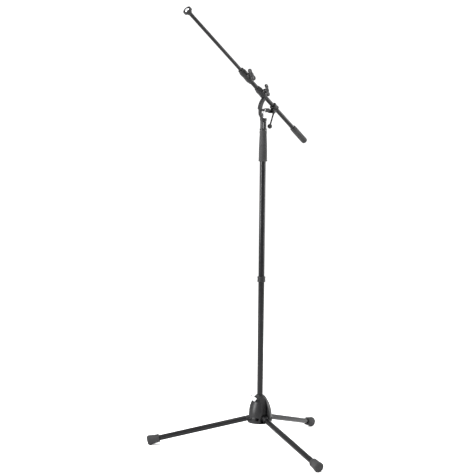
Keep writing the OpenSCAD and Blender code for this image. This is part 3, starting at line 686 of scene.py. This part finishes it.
def sector():
    """C-shaped bar round the tilt axis, with its slot, foot, swivel plate and arm boss."""
    outer = sector_radius()
    inner = outer - BAR_DEPTH
    middle = outer - BAR_DEPTH / 2
    high = sector_top()
    half = BAR_THICK / 2
    bar = prism("sector_bar", arc_band(inner, outer, SECTOR_LOW, high), -half, half, HEAD)
    plate_low = span("sector_bracket", COLUMN)[0]
    plate = rod(plate_low, plate_low + 4.5, span("neck_socket", COLUMN)[2], COLUMN, 96)
    base_y = plate_low - PIVOT.z
    column_x = -PIVOT.x
    turn = math.radians(SECTOR_LOW + 3)
    foot_outline = [(outer * math.cos(turn), outer * math.sin(turn)), (column_x + 14.5, base_y + 6.5),
                    (column_x + 12, base_y + 0.9), (column_x + 7, base_y + 0.9),
                    (column_x + 7, base_y + 6.5),
                    (inner * math.cos(turn), inner * math.sin(turn))]
    foot_piece = prism("tool", foot_outline, -half + 0.3, half - 0.3, HEAD)
    arm = frame_at(PIVOT + Vector((0, 0, 4)), (1, 0, 0), (0, 0, 1))
    boss_end = column_x + 14
    boss_profile = [(0, column_x), (half, column_x), (half, boss_end), (0, boss_end)]
    boss = lathe("tool", rounded(boss_profile, 0.6), arm)
    join(bar, plate, foot_piece, boss)
    slot_band = arc_band(middle - SLOT_WIDTH / 2, middle + SLOT_WIDTH / 2,
                         high + SLOT_SPAN[0], high + SLOT_SPAN[1])
    slot_tool = prism("tool", slot_band, -half - 1, half + 1, HEAD)
    cut(bar, slot_tool, rod(plate_low - 2, plate_low + 6.6, 4.1, COLUMN))
    add(cast(bar, 0.5, 6), "head", "sector_bracket")


def radius_arm():
    """Round link from the tilt axis to the sector, with a flat eye on its pin."""
    across = frame_at(PIVOT, (0, 1, 0), (1, 0, 0))
    arm = frame_at(PIVOT + Vector((0, 0, 4)), (1, 0, 0), (0, 0, 1))
    low, high, radius = span("arm_washer", arm)
    radius -= 0.5
    shaft_start = 14
    shaft = lathe("radius_arm_cast", rounded(
        [(0, shaft_start), (radius - 1.4, shaft_start), (radius, shaft_start + 2.5), (radius, low - 1),
         (radius - 0.8, low), (0, low)], 1), arm, 96)
    half = EYE_THICK / 2
    neck_end = shaft_start + 2
    neck_box = [(0, -EYE_RADIUS), (neck_end, -EYE_RADIUS), (neck_end, EYE_RADIUS), (0, EYE_RADIUS)]
    eye = rod(-half, half, EYE_RADIUS, across)
    join(shaft, eye, prism("tool", neck_box, -half, half, HEAD))
    cut(shaft, rod(-half - 1, half + 1, 3, across))
    add(cast(shaft, 0.45, 4), "head", "radius_arm")
    washer = lathe("arm_steel_washer", rounded(
        [(2.5, low), (radius + 0.5, low), (radius + 0.5, high), (2.5, high)], 0.4, closed=True), arm, 96)
    add(washer, "head", "arm_washer")


def tilt_pin():
    across = frame_at(PIVOT, (0, 1, 0), (1, 0, 0))
    low, high, radius = span("tilt_pin", across)
    corners = [(0, low), (radius, low), (radius, low + 2.2), (3, low + 2.2), (3, high), (0, high)]
    profile = rounded(corners, 0.7)
    pin = lathe("tilt_pin_headed", profile, across)
    add(cut(pin, prism("tool", hexagon(2), low - 1, low + 1.5, across)), "head", "tilt_pin")


def lever():
    """Ball lever that locks the tilt, hanging beside the neck."""
    across = frame_at(PIVOT, (0, 1, 0), (1, 0, 0))
    ball_low, ball_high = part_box("lever_ball")
    ball_centre = (ball_low + ball_high) / 2 / MM
    hub_low, hub_high, _ = span("lever_hub", across)
    hub_radius = LEVER_HUB_RADIUS
    root = across @ Vector((0, 0, (hub_low + hub_high) / 2))
    hang = frame_at(root, ball_centre - root, (0, 1, 0))
    hub = lathe("lever_hub_cast", rounded(
        [(0, hub_low), (hub_radius, hub_low), (hub_radius, hub_high), (0, hub_high)], 1.4), across)
    boss = lathe("tool", rounded([(0, 0), (4.1, 0), (3.7, hub_radius + 5), (0, hub_radius + 5)], 0.8), hang)
    join(hub, boss)
    cut(hub, rod(hub_low - 1, hub_high - 1, 3.05, across))
    add(cast(hub, 0.35, 3), "lever", "lever_hub")
    rod_start, rod_end, rod_radius = span("lever_rod", hang)
    shaft = lathe("lever_rod_lacquered", rounded(
        [(0, rod_start), (rod_radius, rod_start), (rod_radius - 0.35, (rod_start + rod_end) / 2),
         (rod_radius, rod_end), (0, rod_end)], 1), hang, 48)
    add(shaft, "lever", "lever_rod")
    ball_radius = span("lever_ball", hang)[2]
    centre = (ball_centre - root).length
    start_angle = -74
    profile = [(0, centre - ball_radius * 0.97), (3.4, centre - ball_radius * 0.97)]
    for i in range(25):
        angle = math.radians(start_angle + (90 - start_angle) * i / 24)
        profile.append((ball_radius * math.cos(angle), centre + ball_radius * math.sin(angle)))
    profile[-1] = (0, centre + ball_radius)
    add(lathe("lever_ball_moulded", profile, hang, 64), "lever", "lever_ball")


# ---------------------------------------------------------------- boom carrier and clamps

def tube_radius():
    return span("boom_outer_tube", BOOM)[2]


def rear_collar():
    """Barrel that turns on the tilt pin and guides the boom."""
    start, end, _ = span("rear_collar_liner", BOOM)
    radius = COLLAR_RADIUS
    barrel = lathe("rear_collar_cast", rounded(
        [(0, start), (radius - 1.8, start), (radius, start + 2.4), (radius, start + 6),
         (radius - 0.8, start + 7), (radius - 0.8, end - 7), (radius, end - 6), (radius, end - 2.4),
         (radius - 1.8, end), (0, end)], 1), BOOM, 96)
    off = (BOOM.translation - PIVOT).length
    lug_low = EYE_THICK / 2 + 0.3
    tools = []
    for side in (-1, 1):
        near = side * lug_low
        far = side * (lug_low + LUG_THICK)
        cheek = frame_at(PIVOT, (0, 1, 0), BOOM.to_3x3() @ Vector((0, 0, 1)))
        z0, z1 = min(near, far), max(near, far)
        tools.append(rod(z0, z1, EYE_RADIUS, cheek))
        wall = [(-EYE_RADIUS, 0), (EYE_RADIUS, 0), (EYE_RADIUS, -(off - 6)), (-EYE_RADIUS, -(off - 6))]
        tools.append(prism("tool", wall, z0, z1, cheek))
    join(barrel, *tools)
    across = frame_at(PIVOT, (0, 1, 0), (1, 0, 0))
    cut(barrel, rod(start - 1, end + 1, tube_radius() + RUN_GAP, BOOM, 96), rod(-20, 20, 3, across))
    add(cast(barrel, 0.45, 3), "carrier", "rear_collar", "rear_collar_liner")


def clamp_body(name, place_joint, node, bore_parts):
    """A boom clamp: a barrel with tapered ends, end bands, a split and a boss for its wing screw."""
    along = BOOM.to_3x3() @ Vector((0, 0, 1))
    boss_frame = frame_at(joint_point(place_joint), JOINTS[place_joint]["axis"], along)
    # The holder's shoe reaches past its barrel, so its liner gives the barrel's length
    start, end, _ = span("holder_liner" if node == "boom_holder" else node, BOOM)
    middle = (start + end) / 2
    half = (end - start) / 2
    radius = CLAMP_RADIUS
    low = radius - CLAMP_END_STEP
    barrel = lathe(name, rounded(
        [(0, start), (low, start), (low + 0.4, start + 3), (low - 0.2, start + 4),
         (radius, start + SLEEVE_TAPER),
         (radius, middle - 9), (radius - 0.6, middle - 8), (radius - 0.6, middle + 8), (radius, middle + 9),
         (radius, end - SLEEVE_TAPER), (low - 0.2, end - 4), (low + 0.4, end - 3), (low, end),
         (0, end)], 1.2),
        BOOM, 96)
    boss_top = span(node, boss_frame)[1]
    boss_height = min(boss_top, CLAMP_BOSS_HEIGHT)
    boss_profile = [(0, 0), (CLAMP_BOSS + 1.5, 0), (CLAMP_BOSS, radius + 1), (CLAMP_BOSS, boss_height),
                    (0, boss_height)]
    boss = lathe("tool", rounded(boss_profile, 1), boss_frame)
    join(barrel, boss)
    slot_box = [(0, -0.9), (radius + 12, -0.9), (radius + 12, 0.9), (0, 0.9)]
    split = BOOM @ Matrix.Rotation(math.radians(158), 4, "Z")
    cut(barrel, prism("tool", slot_box, start - 1, middle - half * 0.25, split), *bore_parts)
    return barrel


def boom_holder():
    """Clamp whose shoe slides on the sector bar."""
    end = span("holder_liner", BOOM)[1]
    bore = rod(0, end + 1, tube_radius() + RUN_GAP, BOOM, 96)
    body = clamp_body("boom_holder_cast", "holder_wing_turn", "boom_holder", [bore])
    outer = sector_radius()
    high = sector_top()
    wall = BAR_THICK / 2 + SHOE_WALL
    band = arc_band(outer - BAR_DEPTH + 1, outer + SHOE_WALL, high + SHOE_SPAN[0], high + SHOE_SPAN[1])
    shoe = prism("tool", band, -wall, wall, HEAD)
    join(body, shoe)
    channel = arc_band(outer - BAR_DEPTH - 0.3, outer + 0.3, high + SHOE_ROOM[0], high + SHOE_ROOM[1])
    half = BAR_THICK / 2 + 0.3
    bore = rod(0, end + 1, tube_radius() + RUN_GAP, BOOM, 96)
    cut(body, prism("tool", channel, -half, half, HEAD), bore)
    add(cast(body, 0.45, 4), "carrier", "boom_holder", "holder_liner")


def telescope_clamp():
    start, end, _ = span("telescope_clamp", BOOM)
    outer_end = span("boom_outer_tube", BOOM)[1]
    inner_radius = span("boom_inner_tube", BOOM)[2]
    wide = rod(start - 1, outer_end + 0.1, tube_radius(), BOOM, 96)
    narrow = rod(outer_end - 1, end + 1, inner_radius + RUN_GAP, BOOM, 96)
    body = clamp_body("telescope_clamp_cast", "telescope_wing_turn", "telescope_clamp", [wide, narrow])
    add(cast(body, 0.45, 4), "boom", "telescope_clamp", "telescope_bush")


def wing(joint, knob, screw, body):
    """Wing knob: a hub with two dished lobes, moulded on its screw."""
    place = wing_frame(joint, knob)
    low, high, _ = span(knob, place)
    hub = lathe(f"{knob}_moulded", rounded(
        [(0, low), (7.2, low), (7.6, low + 3), (6.6, high - 1.5), (5.4, high), (0, high)], 1.4), place, 64)
    parts = []
    for turn in (0, 180):
        lobe = place @ Matrix.Rotation(math.radians(turn), 4, "Z") @ Matrix.Translation((WING_REACH, 0, 0))
        parts.append(lathe("tool", rounded([(0, low + 3), (WING_RADIUS, low + 3), (WING_RADIUS, low + 9.3),
                                            (0, low + 9.3)], 1.6), lobe, 64))
        web = [(-WING_REACH, -5.2), (0, -WING_RADIUS + 1.4), (0, WING_RADIUS - 1.4), (-WING_REACH, 5.2)]
        parts.append(prism("tool", web, low + 3.2, low + 9, lobe))
    join(hub, *parts)
    dishes = []
    for turn in (0, 180):
        turned = place @ Matrix.Rotation(math.radians(turn), 4, "Z")
        lobe = turned @ Matrix.Translation((WING_REACH + 0.5, 0, 0))
        ball = [(16 * math.cos(math.radians(a)), low + 24 + 16 * math.sin(math.radians(a)))
                for a in range(-90, 91, 6)]
        ball[0] = (0, low + 8)
        ball[-1] = (0, low + 40)
        dishes.append(lathe("tool", ball, lobe, 64))
    cut(hub, *dishes)
    add(cast(hub, 0.4, 4), body, knob)
    start, end, radius = span(screw, place)
    add(threaded(f"{screw}_threaded", start, end, radius, place, 1), body, screw)


# ---------------------------------------------------------------- boom

def boom_tubes():
    tubes = (("boom_outer_tube", "boom"), ("boom_inner_tube", "inner_boom"))
    for (node, body), wall in zip(tubes, BOOM_WALLS):
        start, end, radius = span(node, BOOM)
        add(tube(f"{node}_lacquered", start, end, radius, radius - wall, BOOM, 0.35, 96), body, node)


def counterweight():
    start, end, radius = span("counterweight", BOOM)
    tube_start = span("boom_outer_tube", BOOM)[0]
    inner = tube_radius()
    corners = [(0, start), (radius - 3.5, start), (radius - 0.6, start + 3.2), (radius, start + 9),
               (radius, end - 6), (radius - 0.5, end - 5.2), (radius - 0.5, end - 4.2), (radius, end - 3.4),
               (radius, end - 0.8), (radius - 0.6, end)]
    outer = rounded(corners, 1.6, steps=6)
    profile = outer + [(inner, end), (inner, tube_start), (0, tube_start)]
    add(lathe("counterweight_rubber", profile, BOOM, 96), "boom", "counterweight")
    start, end, radius = span("counterweight_ring", BOOM)
    corners = [(inner, start), (radius, start), (radius, end - 2), (radius - 1.9, end), (inner, end)]
    ring = lathe("counterweight_end_ring", rounded(corners, 0.6, closed=True), BOOM, 96)
    add(ring, "boom", "counterweight_ring")


def tip():
    """Turned sleeve, threaded stud and knurled lock ring at the microphone end."""
    start, end, radius = span("tip_sleeve", BOOM)
    inner = span("boom_inner_tube", BOOM)[2]
    corners = [(inner, start), (inner + 1.2, start), (radius, start + 3), (radius, end), (inner, end)]
    sleeve = lathe("tip_sleeve_turned", rounded(corners, 0.5, closed=True), BOOM, 96)
    add(sleeve, "inner_boom", "tip_sleeve")
    low, high, _ = span("tip_stud", BOOM)
    ring_start, ring_end, ring_radius = span("tip_lock_ring", BOOM)
    shoulder = ring_start + 3.6
    thread = threaded("tip_stud_threaded", shoulder, high - 1, STUD_RADIUS, BOOM, STUD_PITCH)
    root_profile = [(0, low), (5.3, low), (5.3, ring_start + 0.3), (8.9, ring_start + 0.3),
                    (8.9, shoulder), (7.4, shoulder), (7.4, high - 0.9), (6.8, high), (0, high)]
    root = lathe("tool", rounded(root_profile, 0.3), BOOM)
    add(join(thread, root), "inner_boom", "tip_stud")
    knurls = 32

    def knurl(angle, r, height):
        edge = ring_start + 1 < height < ring_end - 1
        return 0.45 * max(0, math.cos(knurls * angle)) if edge and r > ring_radius - 1 else 0

    bore, cup = 9.05, 10.9
    floor = ring_start + 3
    profile = [(bore, ring_start), (ring_radius - 1.4, ring_start), (ring_radius - 0.2, ring_start + 1),
               (ring_radius, ring_start + 1.6), (ring_radius, ring_end - 1.6),
               (ring_radius - 0.2, ring_end - 1), (ring_radius - 1.4, ring_end), (cup + 0.5, ring_end),
               (cup, ring_end - 0.5), (cup, floor), (bore, floor)]
    add(lathe("tip_ring_knurled", profile, BOOM, knurls * 8, knurl), "tip_ring", "tip_lock_ring")


# ---------------------------------------------------------------- studio

def camera():
    azimuth = math.radians(CAMERA_AZIMUTH)
    toward = Vector((math.cos(azimuth), math.sin(azimuth), 0))
    right = Vector((-math.sin(azimuth), math.cos(azimuth), 0))
    up = Vector((0, 0, 1))
    forward = (right * math.sin(CAMERA_YAW) - toward * math.cos(CAMERA_YAW)) * math.cos(CAMERA_PITCH)
    forward += up * math.sin(CAMERA_PITCH)
    level = right * math.cos(CAMERA_YAW) + toward * math.sin(CAMERA_YAW)
    raised = level.cross(forward)
    x_axis = level * math.cos(CAMERA_ROLL) + raised * math.sin(CAMERA_ROLL)
    y_axis = raised * math.cos(CAMERA_ROLL) - level * math.sin(CAMERA_ROLL)
    data = bpy.data.cameras.new("camera")
    data.lens = CAMERA_LENS
    data.sensor_width = SENSOR_WIDTH
    item = bpy.data.objects.new("camera", data)
    bpy.context.scene.collection.objects.link(item)
    place = Matrix((x_axis, y_axis, -forward)).transposed().to_4x4()
    place.translation = toward * CAMERA_DISTANCE + up * CAMERA_HEIGHT
    item.matrix_world = place
    bpy.context.scene.camera = item


def soft_light(name, azimuth, distance, height, size, power, aim=0.8):
    angle = math.radians(azimuth)
    data = bpy.data.lights.new(name, "AREA")
    data.shape = "RECTANGLE"
    data.size = size[0]
    data.size_y = size[1]
    data.energy = power
    item = bpy.data.objects.new(name, data)
    bpy.context.scene.collection.objects.link(item)
    item.location = (distance * math.cos(angle), distance * math.sin(angle), height)
    item.rotation_euler = (Vector((0, 0, aim)) - item.location).to_track_quat("-Z", "Y").to_euler()


def studio():
    """Pale floor, an even pale surround and soft lights."""
    reach = 60
    mesh = bpy.data.meshes.new("floor")
    mesh.from_pydata([(-reach, -reach, 0), (reach, -reach, 0), (reach, reach, 0), (-reach, reach, 0)], [],
                     [(0, 1, 2, 3)])
    floor = bpy.data.objects.new("floor", mesh)
    bpy.context.scene.collection.objects.link(floor)
    paper = surface("floor_paper", (0.90, 0.90, 0.90), (0.92, 0.92, 0.92), (0.85, 0.95), 60, 0.00005,
                    specular=0.1, patch=2)
    mesh.materials.append(paper)
    world = bpy.data.worlds.new("studio")
    world.use_nodes = True
    background = world.node_tree.nodes["Background"]
    background.inputs["Color"].default_value = (1, 1, 1, 1)
    background.inputs["Strength"].default_value = 1.16
    bpy.context.scene.world = world
    bpy.context.scene.view_settings.view_transform = "Standard"
    soft_light("key_light", CAMERA_AZIMUTH - 62, 3.2, 1.9, (0.9, 2.6), 260)
    soft_light("fill_light", CAMERA_AZIMUTH + 75, 3.6, 1.4, (0.7, 2.6), 60)
    soft_light("right_light", CAMERA_AZIMUTH + 112, 3.2, 1.5, (1.4, 2.2), 70)
    soft_light("top_light", CAMERA_AZIMUTH, 0.8, 3.6, (2.5, 2.5), 60, 0)


def build():
    for node, item in frame["nodes"].items():
        item.data.materials.clear()
        item.data.materials.append(MATERIALS[SLOT_OF[node]])
        item.data.shade_smooth()
        item.data.set_sharp_from_angle(angle=math.radians(30))
    base_shell()
    base_trim()
    hinge_screws()
    thumb_screw()
    for side in LEGS:
        leg(side)
    column()
    grip()
    neck()
    swivel()
    sector()
    radius_arm()
    tilt_pin()
    lever()
    rear_collar()
    boom_holder()
    telescope_clamp()
    wing("holder_wing_turn", "holder_knob", "holder_knob_screw", "holder_wing")
    wing("telescope_wing_turn", "telescope_knob", "telescope_knob_screw", "telescope_wing")
    boom_tubes()
    counterweight()
    tip()


camera()
build()
studio()
